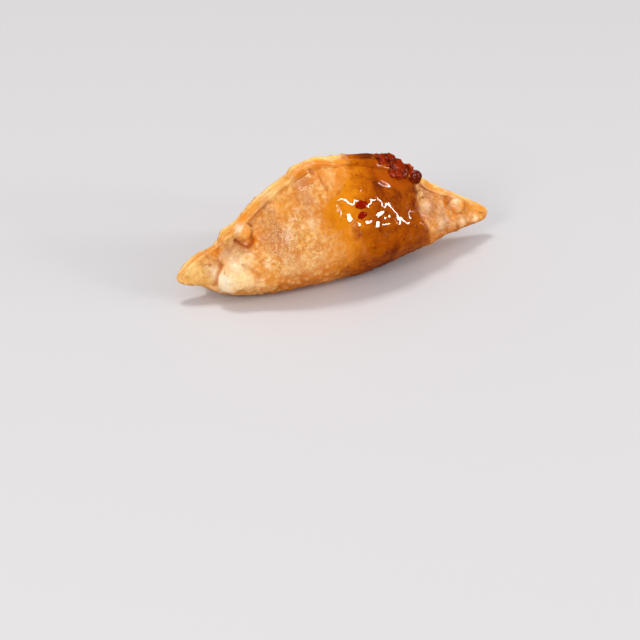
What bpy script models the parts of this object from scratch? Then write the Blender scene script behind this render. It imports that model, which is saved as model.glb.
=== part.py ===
# A deep-fried pork gyoza, built the way the real one is: a round wrapper folded over its
# filling and pressed shut along a two-ply seam, then puffed and blistered by the hot oil.
# A little heap of chopped chilli sits on the seam. Metres, +Z up, +X along the length and
# -Y the plump front. It stands on its flattened underside, and the origin is on that flat,
# halfway between the tips.

import math
import random

import bmesh
import bpy
import numpy as np
from mathutils import Euler, Matrix, Vector, noise

MM = 0.001
FRONT, BACK = -1, 1

# Driving dimensions, in millimetres
HALF_LENGTH = 45.5
TIP_LEVEL = 6.4
TIP_ROUNDING = 3.0  # how far from a tip the outline starts to round off
SEAM_HALF_THICKNESS = 1.45
SEAM_GROOVE = 0.9  # depth of the groove between the two plies
SEAM_LEAN = 1.2
SEAM_RIPPLES = ((0.55, 4.3, 0.6), (0.35, 2.1, 0.0))  # height, length and phase of each wave
LIP_ROUNDING = 0.5
BASE_PRESS = 0.5  # how much of the round belly the frying has flattened
BELLY_LEVEL = 0.43  # the widest level, as a share of the height from keel to neck
SHOULDER_PUFF = 0.6  # 0 is a straight shoulder, 1 a quarter ellipse
TIP_SWEEP = 2.2  # how far the tips bend back, in Y

# The form along the length: x, ridge height, keel height, front and back half-widths, and
# how far the seam stands above the body
STATIONS = (
    (-45.5, 7.8, 5.2, 1.1, 1.1, 1.0),
    (-42.6, 10.6, 4.8, 1.5, 1.6, 3.4),
    (-39.4, 12.9, 4.0, 1.8, 1.9, 5.0),
    (-37.6, 13.8, 3.4, 2.3, 2.2, 4.6),
    (-36.2, 13.9, 2.6, 6.6, 5.2, 4.2),
    (-33.8, 15.5, 1.7, 9.0, 8.0, 4.4),
    (-26.0, 21.7, 0.2, 11.6, 11.4, 3.6),
    (-17.0, 29.4, -0.3, 12.9, 13.2, 2.8),
    (-13.2, 31.6, -0.4, 13.3, 13.7, 2.5),
    (-7.0, 34.0, -0.4, 13.6, 14.0, 2.3),
    (4.0, 31.9, -0.3, 13.4, 13.9, 2.2),
    (11.4, 29.7, 0.8, 12.2, 12.8, 2.3),
    (21.0, 24.4, 2.6, 9.4, 10.2, 2.7),
    (30.0, 17.1, 4.4, 6.0, 6.4, 3.0),
    (35.0, 14.2, 4.9, 4.2, 4.2, 3.2),
    (41.0, 10.4, 4.9, 2.4, 2.4, 2.8),
    (45.5, 7.8, 4.7, 1.4, 1.4, 1.2),
)
RIDGE, KEEL, FRONT_WIDTH, BACK_WIDTH, SEAM_HEIGHT = range(1, 6)
# How far each way the corners between the stations are blended
PROFILE_BLEND, WIDTH_BLEND = 2.0, 0.9
BLEND_SAMPLES = 9

# Where one pleat of the wrapper laps over the next, the ridge steps up: x and rise
PLEAT_STEPS = ((-33.0, 3.6), (-13.4, 1.2))
PLEAT_RUN = 0.6
PLEAT_FADE = 4.0

# The creases: their path as x and z, their side, half-width and depth
CREASES = (
    (((-33.2, 15.8), (-30.4, 15.2), (-28.4, 14.4), (-26.0, 15.4)), FRONT, 1.1, 1.0),
    (((-34.2, 12.4), (-35.8, 10.0), (-37.4, 7.2), (-37.6, 3.6)), FRONT, 0.9, 0.7),
    (((32.4, 14.6), (30.8, 12.4), (31.0, 10.6)), FRONT, 0.9, 0.7),
    (((32.2, 10.4), (37.0, 10.1)), FRONT, 0.8, 0.5),
    (((-22.8, 19.0), (-25.8, 13.4), (-26.4, 8.0)), FRONT, 2.0, 0.5),
    (((21.6, 20.0), (19.8, 13.0), (22.4, 7.4)), FRONT, 2.0, 0.4),
    (((-26.0, 17.0), (-28.0, 11.0), (-27.0, 5.0)), BACK, 1.6, 0.6),
    (((19.0, 20.0), (21.5, 13.0), (20.0, 7.0)), BACK, 1.8, 0.5),
)

# The large blisters: x, z, side, radius and height
BLISTERS = (
    (-27.9, 17.6, FRONT, 2.6, 1.9),
    (-33.2, 7.6, FRONT, 4.4, 0.9),
    (-28.6, 5.4, FRONT, 3.4, 0.5),
    (34.4, 12.4, FRONT, 2.6, 1.1),
    (22.9, 16.3, FRONT, 2.4, 0.6),
    (29.2, 13.8, FRONT, 1.6, 0.6),
    (35.4, 8.4, FRONT, 1.7, 0.6),
    (-31.0, 10.0, BACK, 3.4, 1.2),
    (29.5, 11.0, BACK, 3.0, 1.0),
    (-8.0, 22.0, BACK, 3.0, 0.7),
)
SMALL_BLISTER_COUNT = 80
SMALL_BLISTER_RADII = (1.4, 2.4)
SMALL_BLISTER_RISE = 0.2  # height as a share of the radius
SMALL_BLISTER_SPAN = 0.9  # share of the length that has them
SMALL_BLISTER_LOWEST = 2.0  # height above the keel
UNDULATION = 0.5  # height of the slow bumps that the filling makes
UNDULATION_SPACING = 11.0

# The chopped chilli: the heap's stretch of the seam, the share of the way down each side
# that it covers, and the number and radii of its bits
HEAP_SPAN = (12.2, 20.4)
HEAP_REACH = {FRONT: 0.36, BACK: 0.24}
HEAP_COUNT = 22
HEAP_RADII = (1.0, 1.7)
BIT_UNEVENNESS = (0.82, 1.12)
HEAP_PILE = 1.6  # how high the upper bits are piled on the lower ones
# Single bits: x, share of the way down the front, radius, and thickness by radius
SINGLE_BITS = ((21.6, 0.14, 2.0, 0.8), (1.9, 0.47, 1.5, 0.4), (1.1, 0.52, 1.4, 0.4))

# Resolution: rings along the length, and points from the seam's groove to the keel
RING_COUNT = 80
SIDE_COUNT = 26
LIP_END, FACE_END, SHOULDER_END = 4 / SIDE_COUNT, 8 / SIDE_COUNT, 17 / SIDE_COUNT
MIDDLE_SHARE = 0.6  # how evenly the rings are spaced: 1 is even, 0 crowds the tips

SLOPE_STEP = 0.03  # how far each way the slope under a single bit is measured
WRAPPER_COLOUR = (0.80, 0.36, 0.09, 1.0)
WRAPPER_ROUGHNESS = 0.35
SEED = 11


def smooth_step(x, edge, run):
    t = np.clip((x - edge) / run + 0.5, 0, 1)
    return t * t * (3 - 2 * t)


def along(column, x):
    """One column of STATIONS at x, with the corners between its straight runs blended."""
    places = [row[0] for row in STATIONS]
    values = [row[column] for row in STATIONS]
    blend = WIDTH_BLEND if column in (FRONT_WIDTH, BACK_WIDTH) else PROFILE_BLEND
    window = np.linspace(-blend, blend, BLEND_SAMPLES)
    return np.mean([np.interp(x + shift, places, values) for shift in window], axis=0)


def ridge_height(x):
    height = along(RIDGE, x)
    for edge, rise in PLEAT_STEPS:
        fade = np.exp(-np.abs(x - edge) / PLEAT_FADE)
        height = height + rise * (smooth_step(x, edge, PLEAT_RUN) - 0.5) * fade
    return height


def seam_offset(x):
    """How far the seam stands behind the middle plane: it leans back and ripples."""
    share = x / HALF_LENGTH
    ripple = sum(height * np.sin(x / length + phase) for height, length, phase in SEAM_RIPPLES)
    return SEAM_LEAN * (1 - share**2) + ripple * (1 - share**4)


def tip_rounding(x):
    """1 along the body, falling to 0 at each tip as a quarter circle."""
    inside = np.clip((np.abs(x) - (HALF_LENGTH - TIP_ROUNDING)) / TIP_ROUNDING, 0, 1)
    return np.sqrt(1 - inside**2)


def wrapper_point(x, f, side):
    """The smooth wrapper at x. f runs from 0 in the seam's groove to 1 at the keel."""
    ridge, keel, stand = ridge_height(x), along(KEEL, x), along(SEAM_HEIGHT, x)
    width = np.where(side == FRONT, along(FRONT_WIDTH, x), along(BACK_WIDTH, x))
    neck = ridge - stand
    belly = keel + BELLY_LEVEL * (neck - keel)
    thick = SEAM_HALF_THICKNESS

    lip = np.clip(f / LIP_END, 0, 1)
    face = np.clip((f - LIP_END) / (FACE_END - LIP_END), 0, 1)
    shoulder = np.clip((f - FACE_END) / (SHOULDER_END - FACE_END), 0, 1)
    under = np.clip((f - SHOULDER_END) / (1 - SHOULDER_END), 0, 1)

    # out of the groove, over the lip and down the seam's face
    groove = -SEAM_GROOVE * np.clip(1 - 2 * lip, 0, 1) ** 2
    rounding = -LIP_ROUNDING * np.clip(2 * lip - 1, 0, 1) ** 2
    y = side * np.minimum(thick, width) * lip
    z = ridge + groove + rounding - (stand - LIP_ROUNDING) * face

    # over the shoulder to the widest level: a straight slope blended with a quarter ellipse
    turn = shoulder * math.pi / 2
    out = SHOULDER_PUFF * np.sin(turn) + (1 - SHOULDER_PUFF) * shoulder
    down = SHOULDER_PUFF * (1 - np.cos(turn)) + (1 - SHOULDER_PUFF) * shoulder
    y = y + side * np.maximum(width - thick, 0) * out
    z = z - (neck - belly) * down

    # round under the belly to the keel
    turn = under * math.pi / 2
    y = np.where(under > 0, side * width * np.cos(turn), y)
    z = np.where(under > 0, belly - (belly - keel + BASE_PRESS) * np.sin(turn), z)

    shrink = tip_rounding(x)
    y = y * shrink + seam_offset(x) * (1 - shoulder) + TIP_SWEEP * (x / HALF_LENGTH) ** 2
    z = TIP_LEVEL + (z - TIP_LEVEL) * shrink
    return np.stack([x, y, z], axis=-1)


def distance_to_path(points, path):
    """The distance in x and z from each point to a path of straight runs."""
    nearest = np.full(len(points), np.inf)
    places = points[:, [0, 2]]
    for start, end in zip(path[:-1], path[1:]):
        start, run = np.array(start), np.subtract(end, start)
        share = np.clip((places - start) @ run / (run @ run), 0, 1)
        nearest = np.minimum(nearest, np.linalg.norm(places - start - share[:, None] * run, axis=1))
    return nearest


def all_blisters():
    rng = random.Random(SEED)
    blisters = list(BLISTERS)
    for _ in range(SMALL_BLISTER_COUNT):
        x = rng.uniform(-SMALL_BLISTER_SPAN, SMALL_BLISTER_SPAN) * HALF_LENGTH
        low = float(along(KEEL, x)) + SMALL_BLISTER_LOWEST
        high = float(ridge_height(x) - along(SEAM_HEIGHT, x))
        radius = rng.uniform(*SMALL_BLISTER_RADII)
        side = rng.choice((FRONT, BACK))
        blisters.append((x, rng.uniform(low, high), side, radius, radius * SMALL_BLISTER_RISE))
    return blisters


def relief(points, f, side):
    """How far the surface stands above the smooth wrapper, in millimetres."""
    slow = [noise.noise(Vector(point) / UNDULATION_SPACING) for point in points]
    height = UNDULATION * np.array(slow) * np.clip((f - LIP_END) / LIP_END, 0, 1)
    on_body = f > LIP_END
    for path, crease_side, half_width, depth in CREASES:
        away = distance_to_path(points, path) / half_width
        height -= np.where(on_body & (side == crease_side), depth * np.exp(-(away**2)), 0)
    for x, z, blister_side, radius, rise in all_blisters():
        here = on_body & (side == blister_side)
        flat_distance = np.hypot(points[:, 0] - x, points[:, 2] - z)
        centre = points[np.argmin(np.where(here, flat_distance, np.inf))]
        away = np.linalg.norm(points - centre, axis=1) / radius
        height += np.where(here, rise * np.clip(1 - away**2, 0, 1) ** 0.8, 0)
    return height * tip_rounding(points[:, 0])


def build_wrapper(collection):
    mesh = bpy.data.meshes.new("gyoza")
    bm = bmesh.new()
    bmesh.ops.create_uvsphere(bm, u_segments=2 * SIDE_COUNT, v_segments=RING_COUNT, radius=1)
    bmesh.ops.rotate(bm, verts=bm.verts, cent=(0, 0, 0), matrix=Matrix.Rotation(-math.pi / 2, 3, "Y"))

    # the sphere's poles lie at the tips, and its longitude runs from the seam to the keel
    ball = np.array([vert.co for vert in bm.verts])
    s = np.arcsin(np.clip(ball[:, 0], -1, 1)) / (math.pi / 2)
    x = HALF_LENGTH * (MIDDLE_SHARE * s + (1 - MIDDLE_SHARE) * np.sin(s * math.pi / 2))
    f = np.abs(np.arctan2(ball[:, 1], ball[:, 2])) / math.pi
    side = np.where(ball[:, 1] < 0, FRONT, BACK)
    points = wrapper_point(x, f, side)
    for vert, point in zip(bm.verts, points):
        vert.co = point
    bm.normal_update()
    normals = np.array([vert.normal for vert in bm.verts])
    points += normals * relief(points, f, side)[:, None]
    points[:, 2] = np.maximum(points[:, 2], 0)  # the flat it stands on
    for vert, point in zip(bm.verts, points):
        vert.co = point * MM
    bmesh.ops.triangulate(bm, faces=bm.faces)
    bm.to_mesh(mesh)
    bm.free()
    wrapper = bpy.data.objects.new("gyoza", mesh)
    collection.objects.link(wrapper)
    return wrapper


def add_bit(collection, place, radius, thickness, rng):
    """One chopped bit: an uneven lump, turned at random, with its middle at place."""
    bm = bmesh.new()
    bmesh.ops.create_icosphere(bm, subdivisions=2, radius=radius * MM)
    for vert in bm.verts:
        vert.co *= rng.uniform(*BIT_UNEVENNESS)
        vert.co.z *= thickness
    bmesh.ops.rotate(bm, verts=bm.verts, cent=(0, 0, 0), matrix=place.to_3x3())
    bmesh.ops.translate(bm, verts=bm.verts, vec=place.translation)
    mesh = bpy.data.meshes.new("chilli_bit")
    bm.to_mesh(mesh)
    bm.free()
    collection.objects.link(bpy.data.objects.new("chilli_bit", mesh))


def build_chilli(collection):
    rng = random.Random(SEED)
    for index in range(HEAP_COUNT):
        side = FRONT if index % 3 else BACK
        x = rng.uniform(*HEAP_SPAN)
        f = rng.uniform(0, HEAP_REACH[side])
        spot = wrapper_point(np.array(x), np.array(f), np.array(side)) * MM
        share = (x - HEAP_SPAN[0]) / (HEAP_SPAN[1] - HEAP_SPAN[0])
        lift = HEAP_PILE * MM * rng.uniform(0, 0.5 + share) * (1 - f)
        turn = Euler([rng.uniform(0, math.tau) for _ in range(3)]).to_matrix().to_4x4()
        place = Matrix.Translation(Vector(spot) + Vector((0, 0, lift))) @ turn
        add_bit(collection, place, rng.uniform(*HEAP_RADII), rng.uniform(0.6, 1.0), rng)
    for x, f, radius, thickness in SINGLE_BITS:
        above = wrapper_point(np.array(x), np.array(f - SLOPE_STEP), np.array(FRONT))
        below = wrapper_point(np.array(x), np.array(f + SLOPE_STEP), np.array(FRONT))
        middle = Vector((above + below) / 2) * MM
        slope = Vector(below - above)
        outward = slope.cross(Vector((1, 0, 0))).normalized()
        turn = outward.to_track_quat("Z", "X").to_matrix().to_4x4()
        add_bit(collection, Matrix.Translation(middle) @ turn, radius, thickness, rng)


def fuse(wrapper, bits):
    """Join the bits to the wrapper as one closed solid, then remove them."""
    union = wrapper.modifiers.new("chilli", "BOOLEAN")
    union.operation = "UNION"
    union.operand_type = "COLLECTION"
    union.collection = bits
    union.solver = "EXACT"
    depsgraph = bpy.context.evaluated_depsgraph_get()
    fused = bpy.data.meshes.new_from_object(wrapper.evaluated_get(depsgraph))
    wrapper.modifiers.clear()
    wrapper.data = fused
    for bit in list(bits.objects):
        bpy.data.objects.remove(bit)
    bpy.data.collections.remove(bits)


def wrapper_material():
    material = bpy.data.materials.new("fried_wrapper")
    material.use_nodes = True
    shader = material.node_tree.nodes["Principled BSDF"]
    shader.inputs["Base Color"].default_value = WRAPPER_COLOUR
    shader.inputs["Roughness"].default_value = WRAPPER_ROUGHNESS
    shader.inputs["Metallic"].default_value = 0.0
    return material


def main():
    for obj in list(bpy.data.objects):
        bpy.data.objects.remove(obj)
    collection = bpy.data.collections.new("pork_gyoza")
    bits = bpy.data.collections.new("chilli_bits")
    for each in (collection, bits):
        bpy.context.scene.collection.children.link(each)
    wrapper = build_wrapper(collection)
    build_chilli(bits)
    fuse(wrapper, bits)
    wrapper.data.name = "gyoza"
    wrapper.data.materials.clear()
    wrapper.data.materials.append(wrapper_material())
    wrapper.data.shade_smooth()


main()
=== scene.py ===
import math
import random

import bmesh
import bpy
import numpy as np
from mathutils import Euler, Matrix, Vector, kdtree, noise


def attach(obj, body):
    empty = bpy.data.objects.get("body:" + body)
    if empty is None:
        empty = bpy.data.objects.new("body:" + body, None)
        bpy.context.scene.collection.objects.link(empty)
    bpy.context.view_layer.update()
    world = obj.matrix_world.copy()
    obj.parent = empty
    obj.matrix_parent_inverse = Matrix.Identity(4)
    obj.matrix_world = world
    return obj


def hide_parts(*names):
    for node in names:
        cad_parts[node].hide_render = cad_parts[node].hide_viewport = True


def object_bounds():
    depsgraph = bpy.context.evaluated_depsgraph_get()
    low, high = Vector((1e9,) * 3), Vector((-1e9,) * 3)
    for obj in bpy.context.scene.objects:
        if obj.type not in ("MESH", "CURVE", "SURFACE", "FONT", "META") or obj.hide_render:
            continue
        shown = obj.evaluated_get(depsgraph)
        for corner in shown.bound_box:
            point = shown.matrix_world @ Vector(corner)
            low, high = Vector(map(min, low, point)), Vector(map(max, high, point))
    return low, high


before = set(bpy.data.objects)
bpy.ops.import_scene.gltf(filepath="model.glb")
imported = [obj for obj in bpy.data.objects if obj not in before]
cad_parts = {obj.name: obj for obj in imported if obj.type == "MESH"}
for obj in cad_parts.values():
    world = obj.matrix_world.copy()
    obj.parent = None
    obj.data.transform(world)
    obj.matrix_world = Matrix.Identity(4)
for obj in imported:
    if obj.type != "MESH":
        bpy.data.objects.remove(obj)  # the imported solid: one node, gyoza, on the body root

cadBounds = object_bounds()
mm = 0.001
front, back = -1, 1
print("frame loaded, box in mm:", [round(v / mm, 1) for corner in cadBounds for v in corner])


# small helpers

def smoothStep(x, edge, run):
    t = np.clip((x - edge) / run + 0.5, 0, 1)
    return t * t * (3 - 2 * t)


def between(value, low, high):
    return np.clip((value - low) / (high - low), 0, 1)


def bell(distance, radius):
    return np.exp(-(distance / radius) ** 2)


def noiseAt(points, size, seed=0):
    # soft noise of about -1 to 1, with bumps of about this size in mm
    shift = Vector((seed * 17.3, seed * 5.9, seed * 11.1))
    return np.array([noise.noise(Vector(p) / size + shift) for p in points])


def follow(x, path):
    # the value of a path of (x, value) rows at x
    return np.interp(x, *zip(*path))


def pathDistance(places, path):
    # distance from each 2-D place to a path of straight runs
    nearest = np.full(len(places), np.inf)
    for start, end in zip(path[:-1], path[1:]):
        start, run = np.array(start), np.subtract(end, start)
        share = np.clip((places - start) @ run / (run @ run), 0, 1)
        nearest = np.minimum(nearest, np.linalg.norm(places - start - share[:, None] * run, axis=1))
    return nearest


def easeInside(points):
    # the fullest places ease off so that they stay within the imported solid's width
    low, high = cadBounds[0][1] / mm, cadBounds[1][1] / mm
    run = 0.4
    y = points[:, 1]
    y = np.where(y > high - run, high - run * np.exp(-np.maximum(y - high + run, 0) / run), y)
    points[:, 1] = np.where(y < low + run, low + run * np.exp(-np.maximum(low + run - y, 0) / run), y)
    return points


def putAttribute(mesh, name, values):
    attribute = mesh.attributes.new(name, "FLOAT", "POINT")
    attribute.data.foreach_set("value", np.ascontiguousarray(values, dtype=np.float32))


def addObject(name, data):
    made = bpy.data.objects.new(name, data)
    bpy.context.scene.collection.objects.link(made)
    return made


# the wrapper's form, the same named sizes as the solid's, all in mm

form = {
    "halfLength": 45.5,
    "tipLevel": 6.4,
    "tipRounding": 3.0,
    "seamHalfThickness": 1.45,
    "seamGroove": 1.0,
    "frontLipDrop": (  # how far the front ply ends below the back one, along x
        (-45.5, 0.2), (-40, 0.5), (-35, 0.5), (-33, 0.2), (-31, 0.5), (-29, 0.9), (-26, 1.8),
        (-23.5, 2.3), (-20, 1.6), (-16, 1.2), (-12, 1.1), (2, 0.9), (18, 1.1), (27, 1.7),
        (31, 1.3), (34, 0.4), (38.8, 0.3), (40.6, 1.6), (43.2, 1.7), (45.5, 0.3),
    ),
    "mostDrop": 0.65,  # of the seam's stand
    "frontPleatShare": ((-30.0, 0.0), (-22.0, 1.0)),  # the left pleat steps only in the back ply
    "lipWaves": (0.34, 3.1, 0.26, 2.3),  # height and length on the front lip, then on the back one
    "plyWaves": (0.3, 4.2),
    "lipRounding": 0.5,
    "seamLean": 1.2,
    "seamRipples": ((0.55, 4.3, 0.6), (0.35, 2.1, 0.0)),
    "basePress": 0.5,
    "bellyLevel": 0.43,
    "shoulderPuff": 0.6,
    "tipSweep": 2.2,
    "profileBlend": 2.0,
    "widthBlend": 0.9,
    "pleatSteps": ((-33.0, 3.6), (-13.4, 1.2)),
    "pleatRun": 1.5,
    "pleatFade": 4.0,
    "stations": (  # x, ridge, keel, front and back half-widths, seam above body
        (-45.5, 7.8, 5.2, 1.1, 1.1, 1),
        (-42.6, 10.6, 4.8, 1.5, 1.6, 3.4),
        (-39.4, 12.9, 4, 1.8, 1.9, 5),
        (-37.6, 13.8, 3.4, 2.3, 2.2, 4.6),
        (-36.2, 13.9, 2.6, 6.6, 5.2, 4.2),
        (-33.8, 15.5, 1.7, 9, 8, 4.4),
        (-26, 21.7, 0.2, 11.6, 11.4, 3.6),
        (-17, 29.4, -0.3, 12.9, 13.2, 2.8),
        (-13.2, 31.6, -0.4, 13.3, 13.7, 2.5),
        (-7, 34, -0.4, 13.6, 14, 2.3),
        (4, 31.9, -0.3, 13.4, 13.9, 2.2),
        (11.4, 29.7, 0.8, 12.2, 12.8, 2.3),
        (21, 24.4, 2.6, 9.4, 10.2, 2.7),
        (30, 17.1, 4.4, 6, 6.4, 3),
        (35, 14.2, 4.9, 4.2, 4.2, 3.2),
        (41, 10.4, 4.9, 2.4, 2.4, 2.8),
        (45.5, 7.8, 4.7, 1.4, 1.4, 1.2),
    ),
    "lipEnd": 4 / 26,  # shares of the way from the groove to the keel
    "faceEnd": 8 / 26,
    "shoulderEnd": 17 / 26,
}
ridgeColumn, keelColumn, frontColumn, backColumn, seamColumn = range(1, 6)


def along(column, x):
    places = [row[0] for row in form["stations"]]
    values = [row[column] for row in form["stations"]]
    blend = form["widthBlend"] if column in (frontColumn, backColumn) else form["profileBlend"]
    shifts = np.linspace(-blend, blend, 9)
    return np.mean([np.interp(x + shift, places, values) for shift in shifts], axis=0)


def pleatRise(x):
    rise = 0
    for edge, height in form["pleatSteps"]:
        fade = np.exp(-np.abs(x - edge) / form["pleatFade"])
        rounded = np.sqrt(1 - (1 - np.clip((x - edge) / form["pleatRun"] + 0.5, 0, 1)) ** 2)
        rise = rise + height * (rounded - 0.5) * fade
    return rise


def frontDrop(x):
    # the front lip measured down from the back one
    stepped = 1 - follow(x, form["frontPleatShare"])
    wave, length = form["lipWaves"][:2]
    return follow(x, form["frontLipDrop"]) + stepped * pleatRise(x) + wave * waveAlong(x, length, 1)


def waveAlong(x, length, seed):
    spots = np.linspace(-50, 50, 401)
    values = [noise.noise(Vector((spot / length, seed * 7.7, 0.3))) for spot in spots]
    return np.interp(x, spots, values) * (1 - (x / form["halfLength"]) ** 8)


def seamOffset(x):
    share = x / form["halfLength"]
    ripple = sum(height * np.sin(x / length + phase) for height, length, phase in form["seamRipples"])
    return form["seamLean"] * (1 - share**2) + ripple * (1 - share**4)


def tipRounding(x):
    start = form["halfLength"] - form["tipRounding"]
    inside = np.clip((np.abs(x) - start) / form["tipRounding"], 0, 1)
    return np.sqrt(1 - inside**2)


def wrapperPoint(x, f, side):
    # f runs from 0 in the seam's groove to 1 at the keel, on either side
    level, keel, stand = along(ridgeColumn, x), along(keelColumn, x), along(seamColumn, x)
    width = np.where(side == front, along(frontColumn, x), along(backColumn, x))
    ridge = level + pleatRise(x)
    neck = level - stand
    stand = ridge - neck
    belly = keel + form["bellyLevel"] * (neck - keel)
    thick = form["seamHalfThickness"]
    lip = np.clip(f / form["lipEnd"], 0, 1)
    face = np.clip((f - form["lipEnd"]) / (form["faceEnd"] - form["lipEnd"]), 0, 1)
    shoulder = np.clip((f - form["faceEnd"]) / (form["shoulderEnd"] - form["faceEnd"]), 0, 1)
    under = np.clip((f - form["shoulderEnd"]) / (1 - form["shoulderEnd"]), 0, 1)

    # over the lip and down the seam's face
    groove = -form["seamGroove"] * np.clip(1 - 2 * lip, 0, 1) ** 1.5
    rounding = -form["lipRounding"] * np.clip(2 * lip - 1, 0, 1) ** 2
    backWave, backLength = form["lipWaves"][2:]
    frontEnd = np.minimum(frontDrop(x), form["mostDrop"] * stand)
    drop = np.where(side == front, frontEnd, backWave * waveAlong(x, backLength, 2))
    drop = drop * smoothStep(lip, 0.25, 0.5) * (1 - face)
    plyWave, plyLength = form["plyWaves"]
    spread = 1 + plyWave * np.where(side == front, waveAlong(x, plyLength, 3), waveAlong(x, plyLength, 4))
    y = side * np.minimum(thick * spread, width) * lip
    z = ridge + groove + rounding - drop - (stand - form["lipRounding"]) * face

    # over the shoulder to the widest level
    puff = form["shoulderPuff"]
    turn = shoulder * math.pi / 2
    out = puff * np.sin(turn) + (1 - puff) * shoulder
    down = puff * (1 - np.cos(turn)) + (1 - puff) * shoulder
    y = y + side * np.maximum(width - thick * spread, 0) * out
    z = z - (neck - belly) * down

    # round under the belly
    turn = under * math.pi / 2
    y = np.where(under > 0, side * width * np.cos(turn), y)
    z = np.where(under > 0, belly - (belly - keel + form["basePress"]) * np.sin(turn), z)

    shrink = tipRounding(x)
    y = y * shrink + seamOffset(x) * (1 - shoulder) + form["tipSweep"] * (x / form["halfLength"]) ** 2
    z = form["tipLevel"] + (z - form["tipLevel"]) * shrink
    return np.stack([x, y, z], axis=-1)


# relief of the wrapper: what the hot oil and the folding did to it, all in mm

relief = {
    "undulation": (0.5, 11.0),  # height and spacing
    "calm": (8.0, 19.0, 13.0, 0.85),  # x, z, radius and share of the front that is smoother
    "ripples": ((0.22, 4.5), (0.12, 2.2)),  # height and size of each
    "moat": (0.25, 1.12, 0.16),  # round a blister: share of its height, place and width in radii
    "patches": (0.9, 9.0, 0.12),  # strength, size and least of what the oil raised
    "seamShare": (0.15, 0.1),  # of the pimples and of the pits
    "creases": {  # by side: path in x and z, half-width, depth
        front: (
            (((-33, 15.9), (-30.8, 15.5)), 0.6, 0.35),
            (((-29.5, 15.2), (-29, 14.9), (-28.2, 14.9), (-27.2, 15.5), (-26.2, 16.7)), 0.5, 0.7),
            (((-34.9, 13.6), (-34.3, 11.8)), 1.1, 0.8),
            (((-34.6, 10.4), (-36.4, 8), (-37.2, 4.6)), 0.5, 0.6),
            (((-24.2, 19.6), (-19.7, 24.4), (-15.6, 28.4), (-11.5, 30.9)), 0.8, 0.2),
            (((32, 14.6), (31.5, 12.6), (32.2, 10.6), (34.6, 9.7), (37, 9.9)), 0.75, 0.5),
            (((40, 10.2), (41.6, 8.9), (43.1, 7.4)), 0.8, 0.4),
            (((24, 19.4), (27.4, 17.2), (30.6, 15)), 0.6, 0.4),
            (((-22.8, 19), (-25.8, 13.4), (-26.4, 8)), 2, 0.5),
            (((21.6, 20), (19.8, 13), (22.4, 7.4)), 2, 0.4),
            (((-7.1, 30.2), (-7, 28.7), (-6.2, 27.4)), 0.35, 0.4),
            (((-4.6, 28.4), (-4.2, 26.2)), 0.5, 0.3),
            (((-10.6, 32.2), (-8.9, 31.6), (-8.4, 30.6)), 0.4, 0.4),
            (((-14.5, 27.5), (-18, 24), (-18.8, 21.5)), 0.9, 0.35),
        ),
        back: (
            (((-26, 17), (-28, 11), (-27, 5)), 1.5, 0.6),
            (((19, 20), (21.5, 13), (20, 7)), 1.6, 0.5),
            (((-34.2, 12), (-36, 9), (-37.2, 5)), 0.7, 0.7),
            (((-12, 27), (-13.5, 21), (-12.5, 16)), 0.8, 0.4),
            (((6, 27), (8, 22)), 0.6, 0.35),
            (((-24, 20), (-19, 25), (-14, 29), (-6, 31)), 0.5, 0.4),
        ),
    },
    "blisters": {  # by side: x, z, radius and height
        front: (
            (-34.2, 7.7, 4.4, 0.9), (-30.9, 7.6, 3.2, 0.5), (-29.2, 12, 2.6, 0.5), (-31.8, 10.6, 2.2, 0.35),
            (-38.3, 10.7, 1, 0.35), (-37.9, 8.6, 1.1, 0.35), (-41.6, 8.4, 1.1, 0.3), (-20.4, 23, 1.3, 0.45),
            (-12.3, 26.8, 2.2, 0.35), (-25.5, 5.5, 3.4, 0.4), (25.5, 17, 0.9, 0.4), (29.2, 13.8, 1.3, 0.6),
            (27.6, 14.8, 1, 0.4), (25, 12.4, 1.7, 0.4), (27.2, 10.4, 2.1, 0.55), (31.4, 7.9, 2, 0.5),
            (34.9, 7.6, 1.6, 0.7), (37.6, 7.4, 1.1, 0.4), (40.2, 6.9, 1.3, 0.5),
        ),
        back: (
            (-31, 10, 3.4, 1.2), (-34.4, 7, 3, 0.7), (29.5, 11, 3, 1), (34.6, 9, 1.6, 0.6), (-8, 22, 3, 0.7),
            (-20, 15, 2.2, 0.6), (12, 12, 2.6, 0.6),
        ),
    },
    "balls": (  # centre, radius, direction and squash of round blisters
        ((-28.4, -0.7, 17.9), 2.5, (-0.36, -0.80, 0.48), 0.95),
        ((34.4, -0.8, 11.9), 2.1, (-0.33, -0.82, 0.46), 0.9),
        ((22.6, -5.4, 16.4), 2.2, (-0.10, -0.90, 0.40), 0.45),
        ((22.2, -2.9, 18.9), 1.1, (-0.10, -0.85, 0.50), 0.6),
    ),
    "ballEdge": 0.7,  # share of the lip above which no ball shows
    "smallBlisters": {"count": 260, "radii": (0.9, 1.9), "rise": 0.12, "seed": 5},
    "pimples": {"count": 3200, "radii": (0.36, 0.72), "rise": 0.2, "seed": 8},
    "pits": {"count": 380, "radii": (0.35, 0.6), "rise": -0.2, "seed": 9},
}


def scatterOn(points, spec, weights):
    # seeded places on the wrapper, drawn by weight, as point indices with a radius each
    rng = np.random.default_rng(spec["seed"])
    chance = weights / weights.sum()
    chosen = rng.choice(len(points), size=spec["count"], replace=False, p=chance)
    low, high = spec["radii"]
    radii = low + (high - low) * rng.random(spec["count"]) ** 2
    return chosen, radii


def addDomes(height, points, tree, chosen, radii, rises, allowed):
    for index, radius, rise in zip(chosen, radii, rises):
        for _, other, away in tree.find_range(points[index], radius):
            if allowed[other]:
                dome = rise * (1 - (away / radius) ** 2) ** 0.8
                height[other] = height[other] + dome


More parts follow.
